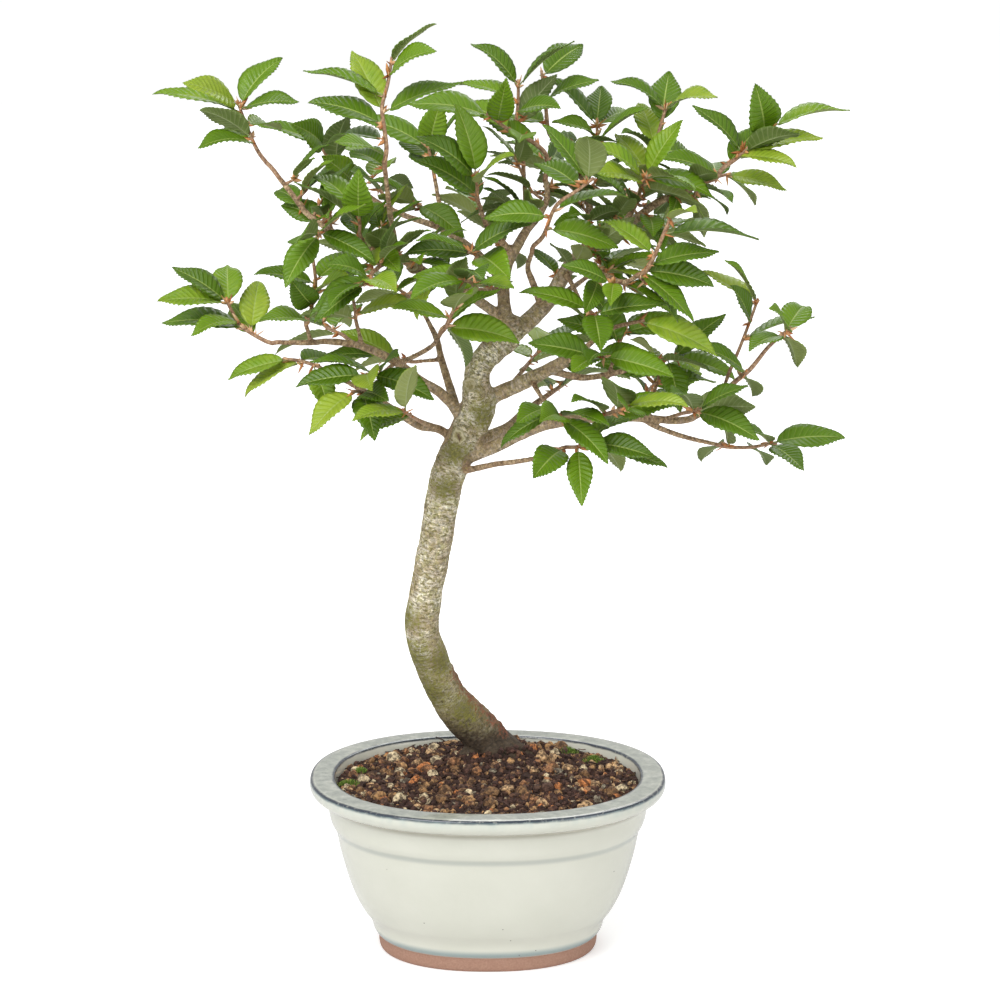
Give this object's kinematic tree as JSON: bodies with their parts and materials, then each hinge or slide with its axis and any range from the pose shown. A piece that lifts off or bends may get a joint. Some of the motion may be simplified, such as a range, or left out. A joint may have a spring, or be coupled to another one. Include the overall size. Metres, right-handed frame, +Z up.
{
  "type": "bonsai tree",
  "caption": "Potted bonsai hornbeam with a curved leaning trunk, forked limbs and leafy shoots, in a round-cornered oval glazed pot with soil and drain screens.",
  "frame": {"origin": "centre of the pot's flat underside, on the surface that the pot stands on", "axes": "+X along the pot's long side, to the right as seen from the front; +Y towards the back; +Z up"},
  "size_m": [0.3814, 0.2542, 0.5182],
  "materials": {
    "pot_glaze": "gloss",
    "soil_mix": "matte",
    "drain_mesh": "matte",
    "bark": "matte",
    "leaf": "satin"
  },
  "bodies": {
    "root": {"pot": "pot_glaze", "soil": "soil_mix", "drain_screen_left": "drain_mesh", "drain_screen_right": "drain_mesh", "trunk": "bark", "shoot_c_tip": "leaf", "shoot_c_mid": "leaf", "shoot_c_low": "leaf", "shoot_c_front": "leaf", "shoot_d_tip": "leaf", "shoot_d_low": "leaf", "shoot_d2_tip": "leaf", "shoot_d_inner": "leaf", "shoot_f_tip": "leaf", "shoot_g_tip": "leaf", "shoot_orange_twig": "leaf", "shoot_top_middle": "leaf", "shoot_b2_tip": "leaf", "shoot_b2_side": "leaf", "shoot_b1_shoot": "leaf", "shoot_b3_tip": "leaf", "shoot_b3_side": "leaf", "shoot_b_tip": "leaf", "shoot_b_low": "leaf", "shoot_r_inner": "leaf", "shoot_l_shoot": "leaf", "shoot_h_tip": "leaf", "shoot_h_up": "leaf", "shoot_h_mid": "leaf", "shoot_h_low": "leaf", "shoot_j_tip": "leaf", "shoot_j_mid": "leaf", "shoot_j_front": "leaf", "shoot_k_tip": "leaf", "shoot_i_tip": "leaf", "shoot_i_low": "leaf", "shoot_l1_tip": "leaf", "shoot_l1_low": "leaf", "shoot_l2_tip": "leaf", "shoot_l2_up": "leaf", "shoot_l_under": "leaf", "shoot_m_tip": "leaf", "shoot_m_up": "leaf", "shoot_m_mid": "leaf", "shoot_m_inner": "leaf", "shoot_n_tip": "leaf", "shoot_o_tip": "leaf", "shoot_p_tip": "leaf", "shoot_back_high_tip": "leaf", "shoot_back_right_tip": "leaf", "shoot_back_low_tip": "leaf", "shoot_back_left_tip": "leaf", "shoot_back_outer_tip": "leaf", "shoot_back_top_tip": "leaf", "shoot_back_m_tip": "leaf", "shoot_back_h_tip": "leaf", "shoot_front_high_tip": "leaf", "shoot_a_front": "leaf", "shoot_front_right_tip": "leaf"}
  },
  "joints": []
}
